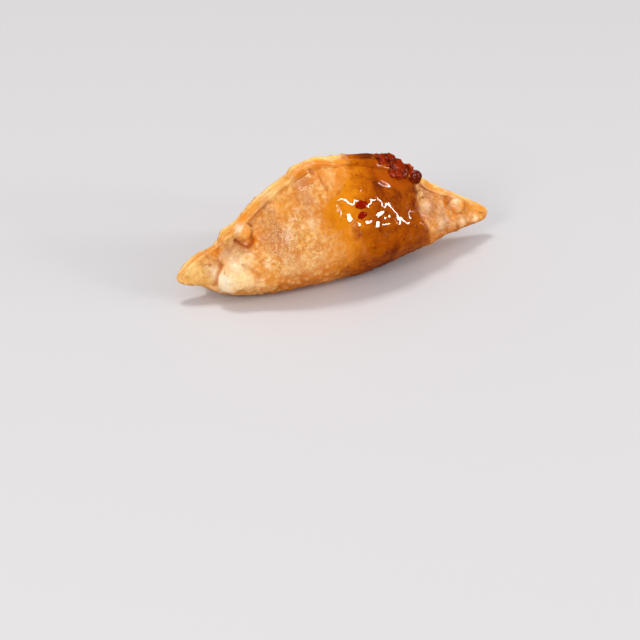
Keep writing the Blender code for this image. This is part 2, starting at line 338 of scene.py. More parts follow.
def stampBall(points, weight, centre, radius, direction, squash):
    # pushes the wrapper out to a ball where the ball stands proud of it
    direction = np.array(direction) / np.linalg.norm(direction)
    offset = points - np.array(centre)
    ahead = offset @ direction
    across = np.linalg.norm(offset - ahead[:, None] * direction, axis=1)
    inside = (across < radius) & (np.abs(ahead) < 1.6 * radius)
    ball = squash * np.sqrt(np.clip(radius**2 - across**2, 0, None))
    blend = 0.25 * radius
    share = np.clip(0.5 + 0.5 * (ball - ahead) / blend, 0, 1)
    fillet = blend * share * (1 - share) * between(radius - across, 0, 0.3)
    proud = ahead * (1 - share) + ball * share + fillet
    push = np.where(inside, weight * (proud - ahead), 0)
    return points + push[:, None] * direction


def buildRelief(points, f, side, areas):
    # broad is the slow form that the sauce follows, fine is what the oil raised on it
    tree = kdtree.KDTree(len(points))
    for index, point in enumerate(points):
        tree.insert(point, index)
    tree.balance()
    skin = np.clip((f - form["lipEnd"]) / form["lipEnd"], 0, 1)
    height, spacing = relief["undulation"]
    x, z, radius, calmShare = relief["calm"]
    calm = calmShare * bell(np.hypot(points[:, 0] - x, points[:, 2] - z), radius) * (side == front)
    broad = height * noiseAt(points, spacing) * skin * (1 - calm)
    creaseShade, blister, fine, pimple, pit = np.zeros((5, len(points)))
    places = points[:, [0, 2]]
    onBody = f > form["lipEnd"]
    moatDepth, moatPlace, moatWidth = relief["moat"]
    for which in (front, back):
        here = onBody & (side == which)
        for path, halfWidth, depth in relief["creases"][which]:
            cut = np.where(here, bell(pathDistance(places, path), halfWidth), 0)
            broad -= depth * cut
            # how much painted shade each crease gets
            creaseShade = np.maximum(creaseShade, cut * min(0.1 + 0.65 * depth / halfWidth, 1))
        for x, z, radius, rise in relief["blisters"][which]:
            flat = np.hypot(points[:, 0] - x, points[:, 2] - z)
            centre = points[np.argmin(np.where(here, flat, np.inf))]
            away = np.linalg.norm(points - centre, axis=1) / radius
            dome = np.where(here, np.clip(1 - away**2, 0, 1) ** 0.7, 0)
            broad += rise * dome
            broad -= np.where(here, moatDepth * rise * bell(away - moatPlace, moatWidth), 0)
            blister = np.maximum(blister, dome)
    for rise, size in relief["ripples"]:
        fine += rise * noiseAt(points, size, seed=size) * skin
    uneven, size, least = relief["patches"]
    patchy = np.clip(0.5 + uneven * noiseAt(points, size, seed=3), least, 1)
    seamPimples, seamPits = relief["seamShare"]
    anywhere = np.ones(len(points), bool)
    for name, height, weights, allowed in (
        ("smallBlisters", fine, areas * onBody, onBody),
        ("pimples", pimple, areas * np.where(onBody, patchy, seamPimples) * (1 - 0.8 * blister), anywhere),
        ("pits", pit, areas * np.where(onBody, patchy, seamPits), onBody),
    ):
        chosen, radii = scatterOn(points, relief[name], weights)
        addDomes(height, points, tree, chosen, radii, radii * relief[name]["rise"], allowed)
    fine = fine + pimple + pit
    fade = tipRounding(points[:, 0])
    return {"broad": broad * fade, "fine": fine * fade, "creaseShade": creaseShade, "blister": blister,
            "pimple": pimple, "pit": -pit}


def wrapperGrid(ringCount, sideCount):
    # a sphere whose poles become the tips and whose longitude runs from seam to keel
    bm = bmesh.new()
    bmesh.ops.create_uvsphere(bm, u_segments=2 * sideCount, v_segments=ringCount, radius=1)
    bmesh.ops.rotate(bm, verts=bm.verts, cent=(0, 0, 0), matrix=Matrix.Rotation(-math.pi / 2, 3, "Y"))
    ball = np.array([vert.co for vert in bm.verts])
    s = np.arcsin(np.clip(ball[:, 0], -1, 1)) / (math.pi / 2)
    x = form["halfLength"] * (0.75 * s + 0.25 * np.sin(s * math.pi / 2))
    f = np.abs(np.arctan2(ball[:, 1], ball[:, 2])) / math.pi
    side = np.where(ball[:, 1] < 0, front, back)
    points = wrapperPoint(x, f, side)
    for vert, point in zip(bm.verts, points):
        vert.co = point
    bm.normal_update()
    normals = np.array([vert.normal for vert in bm.verts])
    areas = np.array([sum(face.calc_area() for face in vert.link_faces) for vert in bm.verts])
    return bm, points, normals, areas, f, side


def finishMesh(bm, points, name):
    for vert, point in zip(bm.verts, points):
        vert.co = point * mm
    mesh = bpy.data.meshes.new(name)
    bm.to_mesh(mesh)
    mesh.shade_smooth()
    return addObject(name, mesh)


# the sauce: where it lies on the wrapper and how thick, in mm

sauce = {
    "filmLeft": (  # edges of the film and of the stain under it, as z and x
        (8, 3.5), (12, 2), (15, -0.5), (18.3, -5), (22.2, -8.4), (25.3, -6), (28.6, 2),
        (33, 5.6),
    ),
    "stainLeft": (
        (0, -9), (10, -10.5), (14.3, -11), (20, -13), (25, -10.4), (28.6, -6), (33, -2),
    ),
    "frontRight": (
        (2, 23), (8, 22.8), (10.3, 22.2), (15.3, 20.3), (18.6, 20.4), (20.5, 22.2), (23, 23.4),
        (28, 24.2),
    ),
    "backLeft": ((8, 6), (14, 1), (20, -1), (26, 1), (33, 4.6)),
    "backRight": ((8, 12), (14, 17), (20, 20), (26, 23.4)),
    "wanderSize": 3.4,  # of the bays in its edges
    "softFilm": 4.6,
    "softStain": 8.5,
    "crispRight": 1.1,
    "lowerFilm": (9.0, 15.5),
    "film": 0.13,
    "filmEnd": -0.98,  # the cover at which the film's mesh ends
    "filmFoot": 0.5,  # how far under the dough its lower face lies
    "heavy": {  # by side, its thick places: x, z, radius and extra thickness
        front: ((9.5, 30, 3.4, 0.7), (15.5, 26.6, 3.8, 0.8), (21, 23, 2.4, 0.5)),
        back: ((15.5, 27.2, 4, 0.9), (9.5, 30, 3.6, 0.8), (21.5, 23, 2.6, 0.5), (10, 21, 6, 0.35)),
    },
    "backTongues": (10.0, 5.0, 2.4),  # level of their ends, height and length
    "tongueEdge": ((7, 26.8), (8.5, 25.8), (11.6, 24.1), (15.2, 21.9), (18.8, 20.9), (22.9, 20.5)),
    "tongueSoft": (0.4, 1.3),  # place and width of its step
    "tongueFrom": (7.0, 10.0),  # x where it begins
    "tongueRise": 0.3,
    "ridges": (  # raised runs on the front that catch the light: path, half-width, rise
        (((-4, 26), (-5.6, 24.2), (-5.8, 22.8)), 0.9, 0.3),
        (((-5.6, 23.2), (-7.6, 21.8), (-9, 20.6)), 0.9, 0.3),
        (((4.2, 18.9), (6.4, 20.2), (8.4, 20.6)), 0.7, 0.1),
        (((7.2, 17), (11, 16.2)), 0.7, 0.12),
    ),
    "drops": (  # on the front: x, z, radius and rise
        (17.6, 16.9, 0.9, 0.28), (3.4, 25.8, 0.6, 0.16), (13.4, 20, 0.6, 0.12), (-5.6, 17.6, 0.6, 0.16),
        (0.4, 21, 1.3, -0.1), (2.2, 19, 1.8, 0.14),
    ),
    "waves": ((0.05, 3.2), (0.02, 1.2)),  # height and size of each
    "thinnest": 0.03,
    "edgeDepth": 0.25,  # how far the film dips under the dough at its edge
    "calming": 0.35,  # share of the fine relief that it soaks flat
    "showThrough": 0.08,  # share of the dough's fine relief felt through the sauce
    "wetFrom": (7.0, 17.0),  # the sauce has sunk in below this level and shines above it
    "darkSlope": (-8.5, 0.5, 0.46),  # the front darkens to the right between these
    "backShade": 0.3,  # how brown the back is all over
    "dark": {  # by side, where the sauce is brown: x, z, radius and strength
        front: (
            (13, 21, 5, 0.62), (18.5, 18.5, 3.4, 0.66), (8.6, 25, 3, 0.72), (10, 8.5, 5, 0.7),
            (15.5, 8.5, 4.6, 0.52), (4.5, 5.5, 4.5, 0.62), (0, 16.5, 2, 0.4), (19.8, 10, 3, 0.55),
            (9, 2, 9, 0.7), (17, 3, 5, 0.62), (-2, 5, 5, 0.35), (14.5, 25.5, 4, 0.6), (19.5, 22, 3, 0.7),
            (8.6, 26.5, 2.4, 0.4), (9.6, 31.2, 2.4, 0.85), (15, 28.4, 2.4, 0.9), (21.5, 24.2, 2, 0.9),
            (20.8, 20.8, 1.8, 0.7),
        ),
        back: (
            (8.6, 31.5, 3.6, 0.85), (15.5, 27, 5, 0.9), (21.5, 24, 3, 0.9), (10, 20, 6, 0.5),
            (11, 13, 5, 0.4),
        ),
    },
}


def bySide(side, frontValues, backValues):
    return np.where(side == front, frontValues, backValues)


def sauceLayers(points, side):
    # signed cover of the film and of the stain under it, then the film's thickness
    x, z = points[:, 0], points[:, 2]
    wander = noiseAt(points, sauce["wanderSize"], seed=21)
    rightEdge = bySide(side, follow(z, sauce["frontRight"]), follow(z, sauce["backRight"]))
    fromRight = np.clip((rightEdge - x + 0.35 * wander) / sauce["crispRight"], -1, 1)
    filmEdge = bySide(side, follow(z, sauce["filmLeft"]), follow(z, sauce["backLeft"]))
    film = np.minimum(np.clip((x - filmEdge - wander) / sauce["softFilm"], -1, 1), fromRight)
    low, high = sauce["lowerFilm"]
    level, height, length = sauce["backTongues"]
    tongues = level + height * np.cos(x / length) + wander
    lower = bySide(side, (z - low - wander) / (high - low), (z - tongues) / 2.5)
    film = np.minimum(film, np.clip(lower, -1, 1))
    stainEdge = bySide(side, follow(z, sauce["stainLeft"]), filmEdge)
    patchy = 1 + 0.5 * noiseAt(points, 2.6, seed=22)
    stain = between(x, stainEdge, stainEdge + sauce["softStain"]) * patchy
    stain = np.minimum(stain, between(fromRight, -0.3, 0.3))
    stain = np.maximum(bySide(side, stain, 0), between(film, -1.0, -0.05))
    thick = sauce["film"] * np.ones(len(points))
    for which, spots in sauce["heavy"].items():
        for heavyX, heavyZ, radius, extra in spots:
            thick += np.where(side == which, extra * bell(np.hypot(x - heavyX, z - heavyZ), radius), 0)
    edge = follow(x, sauce["tongueEdge"])
    inside = smoothStep(z - edge, *sauce["tongueSoft"]) * between(x, *sauce["tongueFrom"]) * (side == front)
    thick += sauce["tongueRise"] * inside
    for height, size in sauce["waves"]:
        thick += height * noiseAt(points, size, seed=31 + size)
    places = points[:, [0, 2]]
    for path, halfWidth, rise in sauce["ridges"]:
        thick += bySide(side, rise * bell(pathDistance(places, path), halfWidth), 0)
    for dropX, dropZ, radius, rise in sauce["drops"]:
        thick += bySide(side, rise * bell(np.hypot(x - dropX, z - dropZ), radius), 0)
    rounded = np.where(film > 0, np.sqrt(np.clip(film, 0, 1)), film)
    depth = np.where(film > 0, np.maximum(thick, sauce["thinnest"]) * rounded, sauce["edgeDepth"] * rounded)
    return {"film": film, "stain": np.clip(stain, 0, 1), "depth": depth, "tongue": inside}


# shader node groups, each built once

def newGroup(name, inputs, outputs):
    group = bpy.data.node_groups.new(name, "ShaderNodeTree")
    for label, kind, value in inputs:
        socket = group.interface.new_socket(name=label, in_out="INPUT", socket_type=kind)
        if value is not None:
            socket.default_value = value
    for label, kind in outputs:
        group.interface.new_socket(name=label, in_out="OUTPUT", socket_type=kind)
    return group, group.nodes.new("NodeGroupInput"), group.nodes.new("NodeGroupOutput")


def feed(tree, socket, value):
    # a plain value is set on the socket, an output is linked to it
    if isinstance(value, (int, float, tuple)):
        socket.default_value = value
    else:
        tree.links.new(value, socket)


def setSockets(node, values):
    for label, value in values.items():
        node.inputs[label].default_value = value


def noiseNode(tree, vector, scale):
    node = tree.nodes.new("ShaderNodeTexNoise")
    setSockets(node, {"Detail": 4.0, "Roughness": 0.6})
    feed(tree, node.inputs["Vector"], vector)
    feed(tree, node.inputs["Scale"], scale)
    return node.outputs["Fac"]


def mathNode(tree, operation, first, second, clamp=False):
    node = tree.nodes.new("ShaderNodeMath")
    node.operation = operation
    node.use_clamp = clamp
    feed(tree, node.inputs[0], first)
    feed(tree, node.inputs[1], second)
    return node.outputs[0]


def times(tree, first, second):
    return mathNode(tree, "MULTIPLY", first, second)


def rangeNode(tree, value, low, high, toLow=0.0, toHigh=1.0):
    node = tree.nodes.new("ShaderNodeMapRange")
    setSockets(node, {"From Min": low, "From Max": high, "To Min": toLow, "To Max": toHigh})
    tree.links.new(value, node.inputs["Value"])
    return node.outputs["Result"]


def mixColour(tree, amount, first, second):
    node = tree.nodes.new("ShaderNodeMix")
    node.data_type = "RGBA"
    colours = [socket for socket in node.inputs if socket.type == "RGBA"]
    feed(tree, node.inputs[0], amount)
    feed(tree, colours[0], first)
    feed(tree, colours[1], second)
    return [socket for socket in node.outputs if socket.type == "RGBA"][0]


def makeDriftGroup():
    # slow change between two tones
    group, inp, out = newGroup("toneDrift", (
        ("Vector", "NodeSocketVector", None), ("Scale", "NodeSocketFloat", 100.0),
        ("Tone A", "NodeSocketColor", (1, 1, 1, 1)), ("Tone B", "NodeSocketColor", (0, 0, 0, 1)),
    ), (("Color", "NodeSocketColor"), ("Mask", "NodeSocketFloat")))
    cloud = noiseNode(group, inp.outputs["Vector"], inp.outputs["Scale"])
    mask = rangeNode(group, cloud, 0.36, 0.64)
    colour = mixColour(group, mask, inp.outputs["Tone A"], inp.outputs["Tone B"])
    group.links.new(colour, out.inputs["Color"])
    group.links.new(mask, out.inputs["Mask"])
    return group


def makeDotGroup():
    # scattered round dots, a share of the cells only, as a mask and a height
    group, inp, out = newGroup("oilDots", (
        ("Vector", "NodeSocketVector", None), ("Scale", "NodeSocketFloat", 1500.0),
        ("Share", "NodeSocketFloat", 0.5), ("Size", "NodeSocketFloat", 0.4),
    ), (("Mask", "NodeSocketFloat"), ("Height", "NodeSocketFloat")))
    cells = group.nodes.new("ShaderNodeTexVoronoi")
    group.links.new(inp.outputs["Vector"], cells.inputs["Vector"])
    group.links.new(inp.outputs["Scale"], cells.inputs["Scale"])
    chance = group.nodes.new("ShaderNodeSeparateColor")
    group.links.new(cells.outputs["Color"], chance.inputs["Color"])
    chosen = mathNode(group, "LESS_THAN", chance.outputs["Red"], inp.outputs["Share"])
    size = times(group, inp.outputs["Size"], mathNode(group, "ADD", chance.outputs["Green"], 0.5))
    reach = mathNode(group, "SUBTRACT", size, cells.outputs["Distance"])
    inside = mathNode(group, "DIVIDE", reach, size, clamp=True)
    group.links.new(times(group, rangeNode(group, inside, 0.0, 0.6), chosen), out.inputs["Mask"])
    bead = mathNode(group, "POWER", inside, 1.5)
    group.links.new(times(group, bead, chosen), out.inputs["Height"])
    return group


def placeGroup(tree, group, vector, **values):
    node = tree.nodes.new("ShaderNodeGroup")
    node.node_tree = group
    tree.links.new(vector, node.inputs["Vector"])
    setSockets(node, {label.replace("_", " "): value for label, value in values.items()})
    return node


driftGroup = makeDriftGroup()
dotGroup = makeDotGroup()


def makeSauceToneGroup():
    # the sauce's colour by how dark it lies, with pores, for the film and for the dough it soaked
    group, inp, out = newGroup("sauceTone", (
        ("Vector", "NodeSocketVector", None), ("Dark", "NodeSocketFloat", 0.0),
        ("Pores", "NodeSocketFloat", 0.5),
    ), (("Color", "NodeSocketColor"),))
    cloud = placeGroup(group, driftGroup, inp.outputs["Vector"], Scale=420.0)
    fine = placeGroup(group, driftGroup, inp.outputs["Vector"], Scale=1500.0)
    pores = placeGroup(group, dotGroup, inp.outputs["Vector"], Scale=820.0, Share=0.3, Size=0.36)
    specks = placeGroup(group, dotGroup, inp.outputs["Vector"], Scale=1500.0, Share=0.4, Size=0.32)
    ramp = group.nodes.new("ShaderNodeValToRGB")
    ramp.color_ramp.elements[0].color = sauceTones[0][1]
    ramp.color_ramp.elements[1].color = sauceTones[-1][1]
    for spot, tone in sauceTones[1:-1]:
        ramp.color_ramp.elements.new(spot).color = tone
    shade = inp.outputs["Dark"]
    for change in (
        rangeNode(group, cloud.outputs["Mask"], 0.0, 1.0, -0.09, 0.09),
        rangeNode(group, fine.outputs["Mask"], 0.0, 1.0, -0.05, 0.05),
        times(group, times(group, pores.outputs["Mask"], inp.outputs["Pores"]), 0.3),
        times(group, times(group, specks.outputs["Mask"], inp.outputs["Pores"]), -0.2),
    ):
        shade = mathNode(group, "ADD", shade, change)
    group.links.new(shade, ramp.inputs["Fac"])
    group.links.new(ramp.outputs["Color"], out.inputs["Color"])
    return group


sauceTones = (
    (0.0, (0.74, 0.230, 0.006, 1)),
    (0.3, (0.46, 0.100, 0.001, 1)),
    (0.6, (0.24, 0.036, 0.001, 1)),
    (1.0, (0.050, 0.008, 0.003, 1)),
)
sauceToneGroup = makeSauceToneGroup()


def placeSauceTone(tree, coords, pores):
    node = placeGroup(tree, sauceToneGroup, coords, Pores=pores)
    tree.links.new(attributeNode(tree, "dark"), node.inputs["Dark"])
    return node.outputs["Color"]


def startMaterial(name):
    material = bpy.data.materials.new(name)
    material.use_nodes = True
    tree = material.node_tree
    shader = tree.nodes["Principled BSDF"]
    coords = tree.nodes.new("ShaderNodeTexCoord").outputs["Object"]
    return material, tree, shader, coords


def attributeNode(tree, name):
    node = tree.nodes.new("ShaderNodeAttribute")
    node.attribute_name = name
    return node.outputs["Fac"]


def addBump(tree, shader, height, distance):
    bump = tree.nodes.new("ShaderNodeBump")
    setSockets(bump, {"Distance": distance, "Strength": 1.0})
    tree.links.new(height, bump.inputs["Height"])
    tree.links.new(bump.outputs["Normal"], shader.inputs["Normal"])


# the fried wrapper

wrapperLook = {
    "rings": 380,
    "sidePoints": 130,
    "golden": (0.87, 0.385, 0.062, 1),
    "deepGolden": (0.62, 0.17, 0.010, 1),
    "pale": (1.0, 0.68, 0.32, 1),
    "pink": (0.55, 0.25, 0.125, 1),
    "yellow": (0.99, 0.62, 0.19, 1),
    # deep amber: the dough's deeper orange, also used as painted shade in grooves, hollows and under the
    # edges
    "amberAndShade": (0.88, 0.30, 0.010, 1),
    # darker brown: browned spots, also painted shade under the belly
    "searedAndShaded": (0.64, 0.165, 0.008, 1),
    # pinkish white of a painted sheen on the lobe's edge, the balls and the blisters
    "paintedSheen": (1.0, 0.82, 0.58, 1),
    # painted shade in the creases, deep orange as if lit through the dough
    "creaseShade": (0.50, 0.085, 0.003, 1),
    # painted shade in the pits
    "pit": (0.62, 0.20, 0.020, 1),
    "pimple": (0.97, 0.60, 0.22, 1),
    # tone of the tiny painted highlights on the oil dots
    "glint": (0.99, 0.70, 0.34, 1),
    "shader": {
        "Coat Roughness": 0.12,
        "Coat IOR": 1.42,
        "Subsurface Weight": 0.2,
        "Subsurface Radius": (1.0, 0.36, 0.12),
        "Subsurface Scale": 0.002,
        "Specular IOR Level": 0.1,
    },
    "roughness": (0.3, 0.52),
    "coat": (0.45, 0.12),  # bare and sauced
    "dotScale": 2200.0,
    "dotBump": 0.00011,
    "grainScale": 1700.0,
    # shares of the way from the groove to the keel, with their soft runs, on the front and the back
    "innerFace": ((0.078, 0.02), (0.10, 0.03)),
    "groove": ((0.105, 0.03), (0.045, 0.03)),
    "grooveShadeAlong": ((-25, 1.0), (-19, 0.45), (-13, 0.5), (-6, 0.95), (24, 1.0)),
    # painted highlight: a paler line painted along the lips' rims
    "lipHighlight": (0.105, 0.035),
    "lipHighlightAlong": (
        (-28, 0.6), (-22, 1.0), (-15, 1.0), (-10, 0.2), (8, 0.2), (16, 1.0), (30, 1.0), (37, 0.3),
    ),
    # a darker band where the wrapper turns under the belly: browned base with painted shade
    "searedShadeBand": (0.64, 0.75),
    "searedShadeFrom": (-29.0, -22.0),  # x where it fades in
    "domePale": (15, 0.1, 0.25),  # x of the change, how pale the front's blisters are right and left of it
    "creaseShadeFrom": 0.4,
    "strength": {"innerPale": 0.8, "amberAndShade": 0.88, "searedShadeBand": (0.9, 0.6), "lip": 0.42, "creaseShade": 1.5},
    "uneven": {  # noise size and seed, middle, swing and least
        "groove": (4.0, 55, 0.8, 0.9, 0.3),
        "lip": (3.0, 51, 0.65, 1.0, 0.0),
        "innerPale": (3.2, 52, 0.0, 1.5, 0.0),
        "innerYellow": (4.5, 53, 0.7, 1.2, 0.2),
    },
    "zones": {  # by tint and side: x, z, radius in mm and strength
        ("pale", front): (
            (-36, 6.6, 2.4, 1), (-33.6, 7.6, 2.8, 0.9), (-30.6, 7.6, 3, 0.8), (-29.2, 12, 2.2, 0.7),
            (-31.8, 10.6, 2.2, 0.6), (-28.4, 18.3, 1.5, 0.9), (-22, 25.2, 1.6, 0.7), (-12.5, 21, 1.7, 0.6),
            (-4.4, 30.2, 1.8, 0.5), (-14.5, 9, 3.4, 0.45), (22.6, 19.4, 1.2, 0.3), (-18.5, 9.6, 3, 0.55),
            (-10.8, 12.8, 2.8, 0.4), (22.6, 16.5, 1.4, 0.5), (29.2, 13.8, 1.4, 0.4), (27, 10.8, 1.4, 0.3),
            (34.2, 12.4, 1.9, 0.7), (35.1, 8, 1.4, 0.6), (40, 6.5, 1.4, 0.8),
        ),
        ("pale", back): (
            (-30.3, 18.8, 1.4, 0.8), (-30, 8, 6, 0.9), (-12, 12, 6, 0.5), (28, 10, 5, 0.7), (0, 8, 5, 0.4),
        ),
        ("pink", front): (
            (-32.4, 13.6, 1.8, 0.7), (-30, 13.6, 1.8, 0.6), (-20.4, 23.2, 1.5, 0.9), (-11.7, 29, 2.4, 0.9),
            (-6.9, 31, 1.9, 0.8), (-12.6, 26, 2.6, 0.8), (-20.8, 17.4, 3.8, 0.75), (-18, 12.5, 3, 0.45),
            (24.5, 15.5, 4.4, 1), (28.5, 11, 5, 0.95), (33, 8, 3, 0.5), (-38.2, 9.8, 1, 0.5),
        ),
        ("pink", back): ((-18, 20, 6, 0.6), (22, 14, 4, 0.5)),
        # yellow on the flanges and tips: the thin dough's tone, with a painted glow through it and painted
        # light on the lower left tip, which faces down into shade
        ("yellow", front): (
            (-41.5, 9.4, 3.6, 1), (-44, 7.2, 2.2, 0.8), (-39.6, 5.6, 2.6, 0.9), (-19.1, 27.2, 2.3, 1),
            (-15.8, 29.4, 1.8, 0.9), (-32, 16.6, 1.4, 0.7),
        ),
        ("yellow", back): ((-41.5, 9, 4.2, 1), (-15.8, 29.4, 2.4, 0.8), (42, 8, 3, 0.6)),
        # amber: partly the dough's own deeper orange, partly painted shade in hollows, beside the balls and
        # along the lower edge
        ("amberAndShade", front): (
            (-34.9, 13.4, 1.6, 1), (-24.4, 22, 2, 0.9), (-27, 20.6, 1.6, 0.7), (-31.2, 17.6, 1, 0.9),
            (-26.7, 16.5, 1.5, 1), (-18.5, 23.4, 1.7, 0.7), (-27.5, 10.6, 1.6, 0.55),
            (-10.5, 32.6, 1.6, 0.9), (-1.7, 30.6, 0.9, 0.8), (-6, 32.6, 3.2, 1), (-12.2, 31.4, 1.7, 0.9),
            (0.5, 31.8, 2.8, 0.9), (31.9, 13, 1, 1), (33.4, 10.4, 1.2, 0.9), (36.6, 10.4, 1.4, 0.8),
            (41.7, 8.8, 1.7, 1), (29.6, 16.6, 2.2, 0.7), (-38.4, 4.6, 1.6, 0.6), (-24.5, 8, 2, 0.45),
            (-22, 3, 5, 0.5), (-5, 19.5, 3, 0.5), (-8, 12, 3, 0.2), (-16, 0.5, 4, 0.8), (-8, 1, 4.5, 0.9),
            (-2, 3, 4, 0.8), (-15.5, 26, 2.4, 0.5), (-3.5, 24.5, 2.6, 0.7), (-24, 0.5, 4, 0.5),
            (23.5, 11, 2, 0.5), (39.2, 9.9, 1.3, 1), (31.3, 11.6, 0.9, 0.9),
        ),
        ("amberAndShade", back): ((-34.6, 13, 1.6, 0.9), (31, 12, 2, 0.8)),
        ("searedAndShaded", front): (
            (-6, 32.6, 3, 0.6), (-11.5, 31.8, 1.6, 0.45), (-13.8, 25.6, 3.2, 0.24), (-21.7, 17.2, 3, 0.14),
            (-2.5, 27.6, 2.2, 0.32), (24, 14, 4, 0.2), (-9, 29, 2, 0.15),
        ),
        # painted sheen: pinkish-white highlights painted where a lamp would shine
        ("paintedSheen", front): (
            (-35.2, 7.2, 1.6, 1), (-34.9, 4.8, 1.4, 0.8), (-31.8, 10.8, 1.8, 0.6), (-28.6, 18.4, 1.2, 0.7),
            (22.8, 16.6, 1, 0.3), (26.8, 10.6, 1.2, 0.2), (34.4, 12.6, 1.3, 0.5), (35.1, 8, 1, 0.3),
            (40, 6.6, 0.9, 0.3), (-12, 20.6, 1, 0.4), (-22, 25.2, 1.1, 0.4),
        ),
        ("paintedSheen", back): ((-34, 8, 2.4, 0.6),),
        # painted glints: where tiny highlights are painted on the oil dots
        ("paintedGlints", front): (
            (-19, 17, 5.5, 1), (-22, 12, 4, 0.8), (-13, 14, 5, 0.9), (-14, 21, 3.6, 0.7), (-7, 15, 4.5, 0.8),
            (-28, 5, 4, 0.4), (26, 9, 5, 0.5),
        ),
        ("paintedGlints", back): ((-18, 16, 7, 0.9),),
    },
}


def zoneMask(points, here, wobble, spots):
    mask = np.zeros(len(points))
    for x, z, radius, strength in spots:
        away = np.hypot(points[:, 0] - x + wobble, points[:, 2] - z - wobble)
        mask = np.maximum(mask, np.where(here, strength * bell(away, radius), 0))
    return mask


def untilShare(ends):
    # 1 from the groove on, down to 0 at a share of the way to the keel
    (frontEnd, frontRun), (backEnd, backRun) = ends
    return bySide(sides, between(frontEnd - share, 0, frontRun), between(backEnd - share, 0, backRun))


def unevenShare(size, seed, middle, swing, least):
    return np.clip(middle + swing * noiseAt(base, size, seed=seed), least, 1)


def makeDoughMaterial():
    look = wrapperLook
    material, tree, shader, coords = startMaterial("friedDough")
    golden, deep = look["golden"], look["deepGolden"]
    drift = placeGroup(tree, driftGroup, coords, Scale=230.0, Tone_A=golden, Tone_B=deep)
    fineDrift = placeGroup(tree, driftGroup, coords, Scale=800.0)
    dots = placeGroup(tree, dotGroup, coords, Scale=look["dotScale"], Share=0.5, Size=0.42)
    mottle = placeGroup(tree, driftGroup, coords, Scale=1150.0)
    blotch = placeGroup(tree, driftGroup, coords, Scale=430.0)
    named = {name: attributeNode(tree, name) for name in (
        "pink", "pale", "yellow", "amberAndShade", "searedAndShaded", "paintedSheen", "lip", "pit", "pimple", "paintedGlints", "creaseShade")}
    light = mathNode(tree, "MAXIMUM", named["pale"], named["yellow"])
    uneven = rangeNode(tree, light, 0.0, 1.0, 1.0, 0.35)
    dim = rangeNode(tree, blotch.outputs["Mask"], 0.45, 0.0, 0.0, 0.5)
    dimmer = rangeNode(tree, mottle.outputs["Mask"], 0.35, 1.0, 0.0, 0.55)
    colour = drift.outputs["Color"]
    for amount, tone in (
        (times(tree, fineDrift.outputs["Mask"], 0.3), "pimple"),
        (rangeNode(tree, blotch.outputs["Mask"], 0.55, 1.0, 0.0, 0.55), "pale"),
        (named["pink"], "pink"),
        (named["pale"], "pale"),
        (named["yellow"], "yellow"),
        (times(tree, dim, uneven), "deepGolden"),
        (times(tree, dimmer, uneven), "deepGolden"),
        (rangeNode(tree, mottle.outputs["Mask"], 0.3, 0.0, 0.0, 0.32), "pale"),
        (named["amberAndShade"], "amberAndShade"),
        (named["searedAndShaded"], "searedAndShaded"),
        (named["paintedSheen"], "paintedSheen"),
        (named["lip"], "pale"),
        (times(tree, named["pit"], 0.6), "pit"),
        (times(tree, named["pimple"], 0.45), "pimple"),
        # painted highlights on the dots
        (times(tree, dots.outputs["Mask"], named["paintedGlints"]), "glint"),
        (named["creaseShade"], "creaseShade"),
    ):
        colour = mixColour(tree, amount, colour, look[tone])
    stain = attributeNode(tree, "stain")
    colour = mixColour(tree, stain, colour, placeSauceTone(tree, coords, 0.8))
    tree.links.new(colour, shader.inputs["Base Color"])
    rough = rangeNode(tree, fineDrift.outputs["Mask"], 0.0, 1.0, *look["roughness"])
    tree.links.new(rough, shader.inputs["Roughness"])
    tree.links.new(rangeNode(tree, stain, 0.2, 0.9, *look["coat"]), shader.inputs["Coat Weight"])
    setSockets(shader, look["shader"])
    grain = noiseNode(tree, coords, look["grainScale"])
    height = mathNode(tree, "ADD", dots.outputs["Height"], times(tree, grain, 0.7))
    addBump(tree, shader, height, look["dotBump"])
    return material


bm, base, normals, areas, share, sides = wrapperGrid(wrapperLook["rings"], wrapperLook["sidePoints"])
reliefs = buildRelief(base, share, sides, areas)
layers = sauceLayers(base, sides)
calmed = sauce["calming"] * between(layers["film"], -0.5, 0.5)
skinHeight = reliefs["broad"] + reliefs["fine"] * (1 - calmed)
outer = base + normals * skinHeight[:, None]
ballEdge = relief["ballEdge"] * form["lipEnd"]
offTheLip = (sides == front) * smoothStep(share, ballEdge, ballEdge)
for ball in relief["balls"]:
    outer = stampBall(outer, offTheLip, *ball)
outer = easeInside(outer)
outer[:, 2] = np.maximum(outer[:, 2], 0)
wrapper = finishMesh(bm, outer, "gyoza_wrapper")
print("wrapper built:", len(wrapper.data.polygons), "faces")

look = wrapperLook
x, z = base[:, 0], base[:, 2]
strength, uneven = look["strength"], look["uneven"]
innerFace = untilShare(look["innerFace"])
# painted shade along the seam's groove
grooveShade = untilShare(look["groove"]) * unevenShare(*uneven["groove"]) * follow(x, look["grooveShadeAlong"])
lipPlace, lipWidth = look["lipHighlight"]
lipHighlight = bell(share - lipPlace, lipWidth) * unevenShare(*uneven["lip"])
wobble = 0.8 * noiseAt(base, 2.2, seed=41)  # moves the zones' edges about
tints = {}
for (name, which), spots in look["zones"].items():
    tints[name] = np.maximum(tints.get(name, 0), zoneMask(base, sides == which, wobble, spots))
domeEdge, domeRight, domeLeft = look["domePale"]
domeShare = np.where((sides == front) & (x > domeEdge), domeRight, domeLeft)
tints["pale"] = np.clip(tints["pale"] + domeShare * reliefs["blister"], 0, 1)
# the lips' tops paler and yellower: the thin flange's tone, with painted light on the rim and a painted glow
# through the thin dough
innerPale = strength["innerPale"] * innerFace * unevenShare(*uneven["innerPale"])
tints["pale"] = np.maximum(tints["pale"], innerPale)
tints["yellow"] = np.maximum(tints["yellow"], innerFace * unevenShare(*uneven["innerYellow"]))
tints["amberAndShade"] = strength["amberAndShade"] * np.maximum(tints["amberAndShade"], grooveShade)
